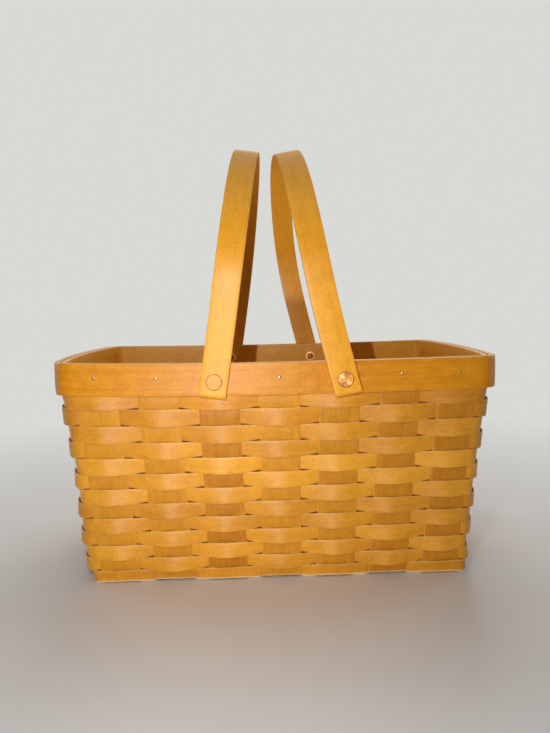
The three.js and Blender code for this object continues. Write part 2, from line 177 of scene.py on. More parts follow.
# Outline of a strip's section: over the outer face, round two eased edges, back over the inner face
def stripSection(width, thick, ease, steps, turns=3):
    face = np.linspace(-1, 1, steps)*(width/2 - ease)
    turn = np.linspace(0, math.pi/2, turns + 1)
    reach, depth = width/2 - ease, thick/2 - ease
    a = [face, reach + ease*np.sin(turn[1:]), reach + ease*np.cos(turn[:-1]),
         face[::-1], -reach - ease*np.sin(turn[1:]), -reach - ease*np.cos(turn[:-1])]
    t = [0*face + thick/2, depth + ease*np.cos(turn[1:]), -depth - ease*np.sin(turn[:-1]),
         0*face - thick/2, -depth - ease*np.cos(turn[1:]), depth + ease*np.sin(turn[:-1])]
    a, t = np.concatenate(a), np.concatenate(t)
    edge = np.clip((np.abs(a) - reach)/ease, 0, 1)
    return a, t, edge


# Slow irregular waving that meets itself after one turn: a few sines of whole numbers of waves
def waving(share, waves):
    turns = chance.uniform(0, 2*math.pi, len(waves))
    return sum(np.sin(2*math.pi*n*share + turn) for n, turn in zip(waves, turns))/len(waves)


def travelled(points, closed):         # distance from the first row, along the column a quarter way round
    line = points[:, points.shape[1]//4]
    line = np.concatenate([line, line[:1]]) if closed else line
    return np.concatenate([[0], np.cumsum(np.linalg.norm(np.diff(line, axis=0), axis=1))])


# A grid of points becomes quads: columns close round the section, rows close if it is a ring,
# and an open piece gets a flat face at each end
def makePiece(name, points, finish, body, nodes, across, marks, ring=False, turned=False):
    rows, cols = points.shape[:2]
    i = np.arange(rows if ring else rows - 1)[:, None]
    j = np.arange(cols)[None, :]
    corners = [(i, j), (i + 1, j), (i + 1, j + 1), (i, j + 1)]
    quads = np.stack([(r % rows)*cols + c % cols for r, c in corners], -1).reshape(-1, 4)
    ends = [] if ring or turned else [np.arange(cols), (rows - 1)*cols + np.arange(cols)[::-1]]
    loops = np.concatenate([quads.ravel(), *ends]).astype(np.int32)
    sizes = np.concatenate([np.full(len(quads), 4), [len(e) for e in ends]]).astype(np.int32)
    mesh = bpy.data.meshes.new(name)
    mesh.vertices.add(rows*cols)
    mesh.vertices.foreach_set("co", points.reshape(-1).astype(np.float32))
    mesh.loops.add(len(loops))
    mesh.loops.foreach_set("vertex_index", loops)
    mesh.polygons.add(len(sizes))
    mesh.polygons.foreach_set("loop_start", (np.cumsum(sizes) - sizes).astype(np.int32))
    mesh.polygons.foreach_set("use_smooth", sizes == 4)
    shift = chance.uniform(0, 5, 2)    # metres, so that each piece has grain of its own
    u, v = travelled(points, ring) + shift[0], np.append(across, across[0]) + shift[1]
    uv = [np.stack(np.broadcast_arrays(u[r], v[c]), -1) for r, c in corners]
    uv = np.stack(uv, 2).reshape(-1, 2)
    tips = [np.stack(np.broadcast_arrays(u[k] + 0*v[:-1], v[order]), -1) for k, order in
            ((0, np.arange(cols)), (-1, np.arange(cols)[::-1]))] if ends else []
    layer = mesh.uv_layers.new(name="grain")
    layer.data.foreach_set("uv", np.concatenate([uv, *tips]).reshape(-1).astype(np.float32))
    for mark, values in marks.items():
        data = np.broadcast_to(values, (rows, cols)).reshape(-1).astype(np.float32)
        mesh.attributes.new(mark, "FLOAT", "POINT").data.foreach_set("value", data)
    mesh.update(calc_edges=True)
    if turned:                         # each end of a turned piece closes to one point
        bm = bmesh.new()
        bm.from_mesh(mesh)
        bmesh.ops.remove_doubles(bm, verts=bm.verts, dist=1e-7)
        bm.to_mesh(mesh)
        bm.free()
    mesh.validate()
    mesh.materials.append(finish)
    piece = bpy.data.objects.new(name, mesh)
    bpy.context.scene.collection.objects.link(piece)
    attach(piece, body)
    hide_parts(*nodes)


# Shader sums: a value is a socket, and arithmetic on values adds Math nodes to its board
class Value:
    def __init__(self, board, socket):
        self.board, self.socket = board, socket

    def sum(self, kind, a, b, clamp=False):
        return self.board.node("ShaderNodeMath", dict(operation=kind, use_clamp=clamp), {0: a, 1: b})

    def __add__(self, other):
        return self.sum("ADD", self, other)

    def __radd__(self, other):
        return self.sum("ADD", other, self)

    def __sub__(self, other):
        return self.sum("SUBTRACT", self, other)

    def __rsub__(self, other):
        return self.sum("SUBTRACT", other, self)

    def __mul__(self, other):
        return self.sum("MULTIPLY", self, other)

    def __rmul__(self, other):
        return self.sum("MULTIPLY", other, self)

    def clamped(self):
        return self.sum("ADD", self, 0, clamp=True)


# A board is the node tree of one material
class Board:
    def __init__(self, name):
        self.material = bpy.data.materials.new(name)
        self.material.use_nodes = True
        self.tree = self.material.node_tree
        self.tree.nodes.clear()

    def node(self, kind, settings, sockets, out=0):
        made = self.tree.nodes.new(kind)
        for key, value in settings.items():
            setattr(made, key, value)
        for key, value in sockets.items():
            if isinstance(value, Value):
                self.tree.links.new(value.socket, made.inputs[key])
            else:
                made.inputs[key].default_value = value
        return Value(self, made.outputs[out])

    def mix(self, share, first, second):
        return self.node("ShaderNodeMix", dict(data_type="RGBA"), {0: share, 6: first, 7: second}, 2)

    def noise(self, place, waves, detail):
        stretched = self.node("ShaderNodeVectorMath", dict(operation="MULTIPLY"), {0: place, 1: waves})
        sockets = {"Vector": stretched, "Scale": 1, "Detail": detail}
        return self.node("ShaderNodeTexNoise", {}, sockets, "Fac")

    def mark(self, name):
        return self.node("ShaderNodeAttribute", dict(attribute_name=name), {}, "Fac")

    def bump(self, height, strength, distance):
        sockets = {"Height": height, "Strength": strength, "Distance": distance}
        return self.node("ShaderNodeBump", {}, sockets)

    def shader(self, sockets):
        return self.ended(self.node("ShaderNodeBsdfPrincipled", {}, sockets))

    def ended(self, surface):
        end = self.tree.nodes.new("ShaderNodeOutputMaterial")
        self.tree.links.new(surface.socket, end.inputs["Surface"])
        return self.material


def paint(r, g, b):                    # a screen colour of 0 to 255 as the linear one that nodes take
    c = np.array([r, g, b])/255
    linear = np.where(c <= 0.04045, c/12.92, ((c + 0.055)/1.055)**2.4)
    return (*linear.tolist(), 1.0)


# Waves per metre along and across the grain, and how much finer detail they hold
fibreWaves = (150, 3000, 1), 2
streakWaves = (9, 300, 1), 3
mottleWaves = (95, 120, 1), 2
curlWaves = (500, 900, 1), 2
fleckWaves = (240, 2300, 1), 1


# Stained maple: long fibres and streaks along the grain, soft mottling across it, short dark flecks,
# and paler bare wood where the edges were cut or a bend has rubbed
def woodFinish(name, look):
    board = Board(name)
    grain = board.node("ShaderNodeUVMap", dict(uv_map="grain"), {}, "UV")
    fibre = board.noise(grain, *fibreWaves)
    streak = board.noise(grain, *streakWaves)
    mottle = board.noise(grain, *mottleWaves)
    curl = board.noise(grain, *curlWaves)
    fleck = board.noise(grain, *fleckWaves)
    tone, bare, worn = board.mark("tone"), board.mark("bare"), board.mark("worn")
    shade = 0.5 + (streak - 0.5)*look["streak"] + (fibre - 0.5)*look["fibre"]
    shade = shade + (mottle - 0.5)*look["mottle"] + (curl - 0.5)*look["curl"] + tone*look["tone"]
    colour = board.mix(shade.clamped(), look["dark"], look["light"])
    specks = ((fleck - look["fleckFrom"])*look["fleckSharp"]).clamped()*look["fleck"]
    colour = board.mix(specks, colour, look["speck"])
    rubbed = (bare*fibre*look["bareFibre"]).clamped()*look["bare"]
    colour = board.mix(rubbed, colour, look["raw"])
    relief = fibre*look["fibreRelief"] + streak*look["streakRelief"] + curl*look["curlRelief"]
    relief = relief - specks*look["fleckRelief"]
    rough = look["rough"] + (fibre - 0.5)*look["fibreRough"] + (mottle - 0.5)*look["mottleRough"]
    rough = rough + rubbed*look["bareRough"] + worn*look["wornRough"]
    return board.shader({"Base Color": colour, "Roughness": rough, "Specular IOR Level": look["gloss"],
                         "Normal": board.bump(relief, look["relief"], look["depth"])})


maple = dict(
    streak=0.5, fibre=0.6, mottle=0.7, curl=1.1, tone=0.3,         # how far each one moves the shade
    fleck=0.5, fleckFrom=0.66, fleckSharp=9, speck=paint(150, 88, 26),
    bare=0.75, bareFibre=1.5, raw=paint(246, 218, 168),
    gloss=0.28, rough=0.34, fibreRough=0.16, mottleRough=0.1, bareRough=0.2, wornRough=0.35,
    relief=0.5, depth=0.3*mm, fibreRelief=0.4, streakRelief=0.3, curlRelief=0.5, fleckRelief=0.6,
)
weaverWood = woodFinish("weaver_maple", dict(
    maple, rough=0.43, gloss=0.44, dark=paint(194, 121, 15), light=paint(236, 165, 38)))
# The uprights are painted darker than the weavers, as painted shade where they lie recessed behind them
uprightWoodPaintedShade = woodFinish("upright_maple_painted_shade", dict(
    maple, streak=0.7, rough=0.38, dark=paint(178, 108, 12), light=paint(218, 150, 34)))
bandWood = woodFinish("band_maple", dict(
    maple, streak=0.9, gloss=0.25, dark=paint(192, 115, 8), light=paint(232, 155, 24)))
# The inner band is painted paler than the outer band, as painted light on the inside of the rim
innerWoodPaintedLight = woodFinish("inner_band_maple_painted_light", dict(
    maple, dark=paint(214, 142, 34), light=paint(250, 188, 62)))
handleWood = woodFinish("handle_maple", dict(
    maple, rough=0.4, gloss=0.3, relief=0.15, dark=paint(208, 130, 16), light=paint(248, 176, 42)))

# Waves per metre each way, and how much finer detail they hold
tarnishWaves = (420, 420, 420), 3
scuffWaves = (1700, 1700, 1700), 2


# Metal: patches of tarnish, fine scuffs, and spun rings that follow the distance from the middle
def metalFinish(name, look):
    board = Board(name)
    place = board.node("ShaderNodeTexCoord", {}, {}, "Object")
    tarnish = board.noise(place, *tarnishWaves)
    scuff = board.noise(place, *scuffWaves)
    turns = board.mark("rings")*(2*math.pi/look["ringPitch"])
    wave = board.node("ShaderNodeMath", dict(operation="SINE"), {0: turns})
    clean = ((tarnish - look["tarnishFrom"])*look["tarnishSharp"]).clamped()
    colour = board.mix(clean, look["dark"], look["light"])
    # Darker where a piece is marked: painted shade in the rivets' eyes; on the tacks, darker on the shank
    # and round the head
    colour = board.mix(board.mark("darkening"), colour, look["darkeningColour"])
    rough = look["rough"] + (scuff - 0.5)*look["scuffRough"]
    relief = wave*look["rings"] + scuff*look["scuff"]
    return board.shader({"Base Color": colour, "Roughness": rough, "Metallic": look["metal"],
                         "Normal": board.bump(relief, look["relief"], look["depth"])})


bareMetal = dict(metal=1.0, tarnishFrom=0.35, tarnishSharp=2.2, scuffRough=0.25,
                 rings=0, ringPitch=0.6*mm, depth=0.06*mm)
copper = dict(bareMetal, darkeningColour=paint(60, 34, 20))
spunCopper = metalFinish("spun_copper", dict(
    copper, rings=0.5, scuff=0.25, rough=0.33, relief=1.0,
    dark=paint(168, 106, 58), light=paint(222, 160, 98)))
plainCopper = metalFinish("plain_copper", dict(
    copper, metal=0.7, rings=0.5, scuff=0.25, rough=0.56, relief=0.3,
    dark=paint(184, 124, 66), light=paint(206, 146, 82)))
# The burrs are painted paler than the rivets' copper, as painted light on them
burrCopperPaintedLight = metalFinish("burr_copper_painted_light", dict(
    copper, scuff=0.6, rough=0.45, relief=0.1, dark=paint(216, 150, 98), light=paint(250, 198, 140)))
tackBrass = metalFinish("tack_brass", dict(
    bareMetal, scuff=0.8, rough=0.3, relief=0.3, darkeningColour=paint(60, 40, 24),
    dark=paint(150, 108, 66), light=paint(250, 226, 184)))
print("finishes made")


# Weavers: rings that run nearly straight from a crest over one upright to a dip behind the next, by an
# arcsine of a cosine. On the leaning wall the lower edge is longer than it needs to be, so it flares
# further out, most in the rows near the floor. A row that comes over near a corner swells out there.
weaver = dict(
    thick=1.1*mm, ease=0.3*mm, extraWidth=-0.2*mm, faceSteps=7, step=1.9*mm, cornerSteps=12,
    crest=2.3*mm, point=0.9,            # 0 gives round waves and 1 a zigzag
    flareTop=1.5*mm, flareFloor=2.8*mm, insideFlare=0.5,
    swell=1.7*mm, swellWidth=0.25,
    lift=0.8*mm, gap=1.3*mm, gapFrom=0.4, gapOver=0.85, gapEnd=0.4, shut=0.4, shutOver=60*mm,
    waver=0.12*mm, waverWaves=(9, 16, 23, 31), drift=0.6, driftWaves=(3, 7, 12),
)
# The last row reaches down to the bends: its foot hugs them, and is rubbed along the floor
lastRow = dict(drop=4.5*mm, out=0.4*mm, inside=2.1*mm, rise=0.2*mm, hideFrom=-0.35, hideOver=0.13,
               rub=1.6*mm, rubFade=0.5*mm, rubShare=1.5)
# Phase of each swell, with 1 where the odd rows come over there and -1 where the even ones do. The ring's
# first corner is also its last.
cornerTurns = ((-0.85, -1), (6.85, -1), (10.15, 1), (17.85, 1), (21.15, -1))


def rowMiddle(row):
    low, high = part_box("weaver_%02d" % row)
    return ((low.z + high.z)/2 - wall["floorZ"])/wallHeight


rowRises = np.array([rowMiddle(row) for row in range(1, weaverRows + 1)])


def weaverStrip(row):
    low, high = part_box("weaver_%02d" % row)
    drop = lastRow["drop"] if row == weaverRows else 0
    width = high.z - low.z + weaver["extraWidth"] + drop
    a, t, edge = stripSection(width, weaver["thick"], weaver["ease"], weaver["faceSteps"])
    rises = rowRises[row - 1] + (a - drop/2)/wallLean
    points, out, phase = wallRing(rises, weaver["step"], weaver["cornerSteps"])
    foot = 0.5 - a/width               # 0 at the upper edge to 1 at the lower one
    way = 1 if row % 2 else -1
    wave = way*np.cos(np.pi*phase)
    over = np.arcsin(weaver["point"]*wave)/math.asin(weaver["point"])
    turns = sum(sign*np.exp(-((phase - spot)/weaver["swellWidth"])**2) for spot, sign in cornerTurns)
    turning = np.maximum(way*turns, 0)
    flare = weaver["flareFloor"] + (weaver["flareTop"] - weaver["flareFloor"])*rowRises[row - 1]
    spread = np.where(wave > 0, wave**2, -weaver["insideFlare"]*wave**2)
    push = weaver["crest"]*over + weaver["swell"]*turning + flare*foot*spread
    # the upper edge rises where it comes over, and the lower one opens a gap just before it goes under,
    # most at the front
    opening = eased((weaver["gapFrom"] - wave)/weaver["gapOver"])*eased((wave + 1)/weaver["gapEnd"])
    atFront = eased(-points[..., 1]/weaver["shutOver"])
    opening = opening*(weaver["shut"] + (1 - weaver["shut"])*atFront)
    raised = weaver["lift"]*wave*(1 - foot) + weaver["gap"]*opening*foot
    rubbed = np.zeros_like(a)
    if drop:
        hidden = 1 - eased((over - lastRow["hideFrom"])/lastRow["hideOver"])
        push = weaver["crest"]*over*(1 - foot)
        push = push + (lastRow["out"] - (lastRow["out"] + lastRow["inside"])*hidden)*foot
        raised = weaver["lift"]*wave*(1 - foot) + lastRow["rise"]*hidden*foot
        rubbed = lastRow["rubShare"]*np.clip((lastRow["rub"] - a - width/2)/lastRow["rubFade"], 0, 1)
    points = settled(points) + out*(push + t)[..., None]
    share = np.linspace(0, 1, len(points), endpoint=False)[:, None]
    points[..., 2] += weaver["waver"]*waving(share, weaver["waverWaves"]) + raised
    tone = chance.uniform(-1, 1) + weaver["drift"]*waving(share, weaver["driftWaves"])
    makePiece("weaver_strip_%02d" % row, points, weaverWood, "basket", ["weaver_%02d" % row],
              a, dict(tone=tone, bare=np.maximum(edge, rubbed)), ring=True)


for row in range(1, weaverRows + 1):
    weaverStrip(row)
print("weavers: %d rings" % weaverRows)


# Uprights: flat splints down one wall, round a small bend, across the base and up the other wall
upright = dict(
    thick=1.2*mm, ease=0.35*mm, topDrop=0.8*mm, bend=2.6*mm,
    faceSteps=9, topSteps=12, wallSteps=90, bendSteps=10, baseSteps=200,
    sway=0.3*mm, swayFade=0.03, level=0.85*mm, square=2.2, levelFade=3*mm,
    rubDepth=4*mm, rubFade=1*mm, rubShare=1.4, rubRows=14, rubPast=2,
    drift=0.4, driftWaves=(2, 5, 9),
)


# One wall of an upright: the plan of its side at each rise, moved along by the place across the splint
def wallSheet(side, place, a, rise):
    nudge = 0.004                      # of rise, to find the way up

    def placed(height):
        capped = np.minimum(height, 1)
        plan, heading = sidePlan(side, place*sideShape(side, capped)[3] + a, capped)
        z = np.broadcast_to(wall["floorZ"] + height*wallHeight, plan.shape[:-1])
        return np.concatenate([plan, z[..., None]], -1), heading
    points, heading = placed(rise)
    along = np.concatenate([heading, np.zeros_like(heading[..., :1])], -1)
    up = unit(placed(rise + nudge)[0] - placed(rise - nudge)[0])
    return points, unit(np.cross(along, up)), up


# A leg goes from the rim down the wall, swaying by a cosine from row to row, then round a circular arc
# to the base
def uprightLeg(side, place, number, a):
    inward = np.append(-sideOut[side], 0)
    foot, _, up = wallSheet(side, place, a[None], np.zeros((1, 1)))
    normal = unit(inward - (up @ inward)[..., None]*up)
    sweep = math.pi - math.acos(float((up[0, 0] @ inward)))
    tangent = upright["bend"]*math.tan(sweep/2)
    top = (wall["rimZ"] - upright["topDrop"] - wall["floorZ"])/wallHeight
    rise = [np.linspace(top, 1, upright["topSteps"]),
            np.linspace(1, tangent/wallLean, upright["wallSteps"])[1:]]
    rise = np.concatenate(rise)[:, None]
    sheet, out, _ = wallSheet(side, place, a[None], rise)
    row = np.interp(rise, rowRises[::-1], np.arange(weaverRows, 0, -1))
    inRows = eased((rise - rowRises[-1])/upright["swayFade"] + 1)
    inRows = inRows*eased((rowRises[0] - rise)/upright["swayFade"] + 1)
    sway = upright["sway"]*np.cos(np.pi*(number + row))*inRows
    sheet = sheet + out*sway[..., None]
    angle = np.linspace(0, sweep, upright["bendSteps"])[1:, None, None]
    turn = np.sin(angle)*up + np.cos(angle)*normal
    bend = foot + tangent*up + upright["bend"]*normal - upright["bend"]*turn
    return np.concatenate([sheet, bend]), np.concatenate([out, -turn])


def uprightSplint(kind, side, k):
    a, t, edge = stripSection(wall["uprightWidth"], upright["thick"], upright["ease"], upright["faceSteps"])
    opposite, last = (side + 2) % 4, sideCount[side] - 1
    place = k - last/2
    near, nearOut = uprightLeg(side, place, sideFirst[side] + k, a)
    far, farOut = uprightLeg(opposite, -place, sideFirst[opposite] + last - k, -a)
    crossing = (side + 1) % 2
    crossPitch = sideShape(crossing, 0)[3]
    # over and under the crossing splints: a cosine with squared shoulders, level at both ends
    halfBase = np.abs(near[-1] @ np.append(sideOut[side], 0))
    travel = np.linspace(-1, 1, upright["baseSteps"])[1:-1, None]*halfBase[None]
    phase = travel/crossPitch + (sideCount[crossing] - 1)/2
    level = (-1)**k*np.tanh(upright["square"]*np.cos(np.pi*phase))/math.tanh(upright["square"])
    level = level*eased((np.abs(travel).max() - np.abs(travel))/upright["levelFade"])
    sideways = sideShape(side, 0)[3]*place + a
    plan = sideways[None, :, None]*sideAlong[side] - travel[..., None]*sideOut[side]
    base = np.concatenate([plan, (wall["floorZ"] + upright["level"]*level)[..., None]], -1)
    baseOut = np.zeros_like(base) + np.array([0, 0, -1.0])
    middle = settled(np.concatenate([near, base, far[::-1]]))
    points = middle + np.concatenate([nearOut, baseOut, farOut[::-1]])*t[:, None]
    # its bends are rubbed on the outside, near the floor
    outerRub = np.clip((upright["rubDepth"] - middle[..., 2])/upright["rubFade"], 0, 1)
    bend = np.zeros((len(middle), 1))
    bend[len(near) - upright["rubRows"]:len(near) + upright["rubPast"]] = 1
    bend[-len(far) - upright["rubPast"]:upright["rubRows"] - len(far)] = 1
    bare = np.maximum(edge, outerRub*bend*(t > 0)*upright["rubShare"])
    share = np.linspace(0, 1, len(points))[:, None]
    tone = chance.uniform(-1, 1) + upright["drift"]*waving(share, upright["driftWaves"])
    makePiece("%s_splint_%d" % (kind, k + 1), points, uprightWoodPaintedShade, "basket",
              ["%s_upright_%d" % (kind, k + 1)], a, dict(tone=tone, bare=bare))


for kind, side in (("cross", 0), ("long", 3)):         # from the front, and from the left end
    for k in range(sideCount[side]):
        uprightSplint(kind, side, k)
print("uprights: %d across and %d along" % (sideCount[0], sideCount[3]))


# Rim bands: upright strips round the wall's plan under the rim, with a slight crown by a parabola. The
# outer one laps over itself near the front right corner, where its end stands a little proud and its
# thickness fades away past it.
bands = dict(
    outer=dict(inside=1*mm, thick=4*mm, ease=0.6*mm, crown=0.3*mm, lapStep=0.9*mm),
    inner=dict(inside=-4.2*mm, thick=3.2*mm, ease=0.5*mm, crown=0.2*mm, lapStep=0),
    lapStart=6.72, lapEdge=0.02, lapLength=0.9,
    faceSteps=11, edgeTurns=4, step=1.5*mm, cornerSteps=26,
    drift=0.5, driftWaves=(2, 5, 9), bare=0.35,
)


def rimBand(name, node, size, finish):
    low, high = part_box(node)
    width = high.z - low.z
    a, t, edge = stripSection(width, size["thick"], size["ease"], bands["faceSteps"], bands["edgeTurns"])
    points, out, phase = wallRing(np.full(len(a), 1.0), bands["step"], bands["cornerSteps"])
    out = unit(out*np.array([1, 1, 0]))
    bulge = size["crown"]*(1 - (2*a/width)**2)*np.sign(t)
    past = bands["lapStart"] - phase
    fading = eased((bands["lapLength"] - past)/bands["lapLength"])
    step = size["lapStep"]*eased(past/bands["lapEdge"])*fading*(t > 0)
    depth = size["inside"] + size["thick"]/2 + t + bulge + step
    points = points + out*depth[..., None]
    points[..., 2] = (low.z + high.z)/2 + a
    points = settled(points)
    share = np.linspace(0, 1, len(points), endpoint=False)[:, None]
    tone = bands["drift"]*waving(share, bands["driftWaves"])
    makePiece(name, points, finish, "basket", [node], a + t,
              dict(tone=tone, bare=bands["bare"]*edge), ring=True)


rimBand("outer_band", "outer_rim_band", bands["outer"], bandWood)
rimBand("inner_band", "inner_rim_band", bands["inner"], innerWoodPaintedLight)
print("rim bands made")


# Handles: bent strips with two straight legs and a half-ellipse arch, bowed a little towards the
# middle by a half sine, then leant about the line between their rivets. Painted light: they are painted
# paler towards the top.
handles = dict(
    left=dict(archX=-21*mm, bow=1.3*mm),
    right=dict(archX=12.5*mm, bow=-5*mm),
    width=22*mm, thick=4.2*mm, ease=0.55*mm, crown=0.25*mm, faceSteps=9, edgeTurns=4,
    reach=205*mm, straight=80*mm, tail=12.5*mm, spread=130.1*mm, legSteps=40, archSteps=110,
    tone=0.4, paintedTopLight=1.2, paintedLightFrom=0.55, drift=0.3, driftWaves=(2, 5, 8), bare=0.3,
)


def swingHandle(side, joint):
    look = handles[side]
    pivot = np.array(joint["pos_m"])
    turn = math.atan2(-joint["axis"][0], joint["axis"][1])
    lean = math.asin((look["archX"] - pivot[0])/handles["reach"])
    rise = handles["reach"] - handles["thick"]/2 - handles["straight"]
    leg = np.linspace(-handles["tail"], handles["straight"], handles["legSteps"])[:-1]
    angle = np.linspace(0, math.pi, handles["archSteps"])
    spread = handles["spread"]
    y = np.concatenate([0*leg - spread, -spread*np.cos(angle), 0*leg + spread])
    z = np.concatenate([leg, handles["straight"] + rise*np.sin(angle), leg[::-1]])
    x = look["bow"]*np.sin(np.pi*z/handles["reach"])
    line = np.stack([x, y, z], -1)
    across = np.array([-1.0, 0, 0])
    out = unit(np.cross(np.gradient(line, axis=0), across))
    a, t, edge = stripSection(handles["width"], handles["thick"], handles["ease"],
                              handles["faceSteps"], handles["edgeTurns"])
    t = t + handles["crown"]*(1 - (2*a/handles["width"])**2)*np.sign(t)
    points = line[:, None] + a[:, None]*across + t[None, :, None]*out[:, None]
    cosLean, sinLean = math.cos(lean), math.sin(lean)
    cosTurn, sinTurn = math.cos(turn), math.sin(turn)
    tilt = np.array([[cosLean, 0, sinLean], [0, 1, 0], [-sinLean, 0, cosLean]])
    swing = np.array([[cosTurn, -sinTurn, 0], [sinTurn, cosTurn, 0], [0, 0, 1]])
    points = points @ (swing @ tilt).T + pivot
    height = eased((z/handles["reach"] - handles["paintedLightFrom"])/(1 - handles["paintedLightFrom"]))[:, None]
    share = np.linspace(0, 1, len(points))[:, None]
    drift = handles["drift"]*waving(share, handles["driftWaves"])
    # painted light: the tone rises towards the top of the arch, so the tops are painted paler
    tone = handles["tone"] + handles["paintedTopLight"]*height + drift
    makePiece("swing_handle_" + side, points, handleWood, "handle_" + side, ["handle_" + side],
              a + t, dict(tone=tone, bare=handles["bare"]*edge, worn=height))


for joint in frame["joints"]:
    swingHandle(joint["child"].split("_")[1], joint)
print("handles made")


# Turned pieces: a profile of radius and height is carried once round an axis. One that sinks goes along
# with the settled rim.
def turnedPiece(name, node, profile, darkening, foot, out, finish, steps, sinks=False):
    radius, height = np.array(profile).T
    side = unit(np.cross(out, [0, 0, 1]))
    lift = np.cross(side, out)
    angle = np.linspace(0, 2*math.pi, steps, endpoint=False)
    around = np.cos(angle)[:, None]*side - np.sin(angle)[:, None]*lift
    points = foot + radius[:, None, None]*around[None] + height[:, None, None]*out
    points = points + (settled(foot) - foot if sinks else 0)
    makePiece(name, points, finish, "basket", [node], angle*5*mm,
              dict(rings=radius[:, None], darkening=np.array(darkening)[:, None]), turned=True)


def roundOff(radius, height, size, start, sweep, steps=5):    # points of an arc in a profile
    angle = start + np.linspace(0, sweep, steps)
    return [(radius + size*math.cos(w), height + size*math.sin(w)) for w in angle]


def outwards(place):
    return np.array([0, -1.0 if place.startswith("front") else 1.0, 0])


def insideEnd(low, high, out):         # the middle of a piece's end that is inside the basket
    return np.array([(low.x + high.x)/2, high.y if out[1] < 0 else low.y, (low.z + high.z)/2])


# Rivets: an eye painted dark, as painted shade in its hollow, the tube's lip rolled over by a half
# circle, the shank, and a head whose face is a low dome by a parabola
rivet = dict(
    eye=1.5*mm, eyeDepth=5*mm, eyeFlat=0.7, eyeWall=0.9,
    shank=2.5*mm, neck=1.2*mm, lipRoll=0.78*mm, lipOut=0.39*mm, lipHeight=0.75*mm, lipSteps=9,
    headHeight=1.6*mm, undercut=0.3*mm, edge=0.6*mm, edgeFrom=-0.2, edgeSweep=1.7, edgeSteps=7,
    dome=0.15*mm, faceInset=0.72*mm, faceSteps=14, steps=64,
)
# Burrs: flat washers whose inside edges are quarter circles
burr = dict(slack=0.25*mm, ease=0.3*mm, steps=56)


def copperRivet(place):
    low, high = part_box("rivet_" + place)
    out = outwards(place)
    length, head = high.y - low.y, (high.x - low.x)/2
    seat, dome, edge = length - rivet["headHeight"], rivet["dome"], rivet["edge"]
    profile = [(0, rivet["eyeDepth"]), (rivet["eye"]*rivet["eyeFlat"], rivet["eyeDepth"]),
               (rivet["eye"], rivet["eyeDepth"]*rivet["eyeWall"]), (rivet["eye"], rivet["neck"])]
    dark = len(profile)
    profile += roundOff(rivet["shank"] + rivet["lipOut"], rivet["lipHeight"], rivet["lipRoll"],
                        math.pi, math.pi, rivet["lipSteps"])
    profile += [(rivet["shank"], rivet["neck"]), (rivet["shank"], seat), (head - rivet["undercut"], seat)]
    profile += roundOff(head - edge, length - dome - edge, edge,
                        rivet["edgeFrom"], rivet["edgeSweep"], rivet["edgeSteps"])
    face = np.linspace(head - rivet["faceInset"], 0, rivet["faceSteps"])
    profile += [(r, length - dome*(r/head)**2) for r in face]
    # painted shade: the eye is coloured dark
    darkening = [1.0]*dark + [0.0]*(len(profile) - dark)
    finish = plainCopper if place.endswith("left") else spunCopper
    turnedPiece("copper_rivet_" + place, "rivet_" + place, profile, darkening, insideEnd(low, high, out), out,
                finish, rivet["steps"])


def copperBurr(place):
    low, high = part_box("burr_" + place)
    out = outwards(place)
    washer, thick = (high.x - low.x)/2, high.y - low.y
    hole, ease = rivet["shank"] + burr["slack"], burr["ease"]
    profile = [(hole, thick), (hole, ease)] + roundOff(hole + ease, ease, ease, math.pi, math.pi/2)
    profile += roundOff(washer - ease, ease, ease, -math.pi/2, math.pi/2) + [(washer, thick), (hole, thick)]
    turnedPiece("copper_burr_" + place, "burr_" + place, profile, [0.0]*len(profile),
                insideEnd(low, high, out), out, burrCopperPaintedLight, burr["steps"])


for place in ("front_left", "front_right", "back_left", "back_right"):
    copperRivet(place)
    copperBurr(place)


# A tack stands square to the rim at its upright, with a low head that is part of an ellipse carried round
tack = dict(
    shank=0.7*mm, taper=1.5*mm, point=0.5, pointRise=0.45,
    head=1.3*mm, under=0.94, rim=0.12*mm, dome=0.6*mm, domeFoot=0.1*mm, domeFrom=0.15, domeSteps=6,
    darkening=0.3, cleanSteps=4, steps=20,
)


def rimTack(node, side, place):
    low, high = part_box(node)
    pitch = sideShape(side, 1)[3]
    _, heading = sidePlan(side, np.array(place*pitch), np.array(1.0))
    out = unit(np.array([heading[1], -heading[0], 0]))
    middle = (np.array(low) + np.array(high))/2
    reach = high.x - low.x if side % 2 else high.y - low.y
    seat, shank, head = reach - tack["dome"], tack["shank"], tack["head"]
    profile = [(0, 0), (shank*tack["point"], tack["taper"]*tack["pointRise"]), (shank, tack["taper"])]
    profile += [(shank, seat), (head*tack["under"], seat), (head, seat + tack["rim"])]
    domeRise = tack["dome"] - tack["domeFoot"]
    swell = np.linspace(tack["domeFrom"], math.pi/2, tack["domeSteps"])
    profile += [(head*math.cos(w), seat + tack["domeFoot"] + domeRise*math.sin(w)) for w in swell]
    profile[-1] = (0, reach)
    # darker on the shank, under the head and round its rim; the middle of the dome keeps its own colour
    darkening = [tack["darkening"]]*(len(profile) - tack["cleanSteps"]) + [0.0]*tack["cleanSteps"]
    turnedPiece("rim_" + node, node, profile, darkening, middle - out*reach/2, out, tackBrass,
                tack["steps"], sinks=True)


for side, name in enumerate(sideNames):
    places = [k - (sideCount[side] - 1)/2 for k in range(sideCount[side])]
    bare = [p for p in places if side % 2 or abs(p) != 1]      # the rivets hold the other uprights
    for k, place in enumerate(bare):
        rimTack("tack_%s_%d" % (name, k + 1), side, place)
print("rivets, burrs and tacks made")


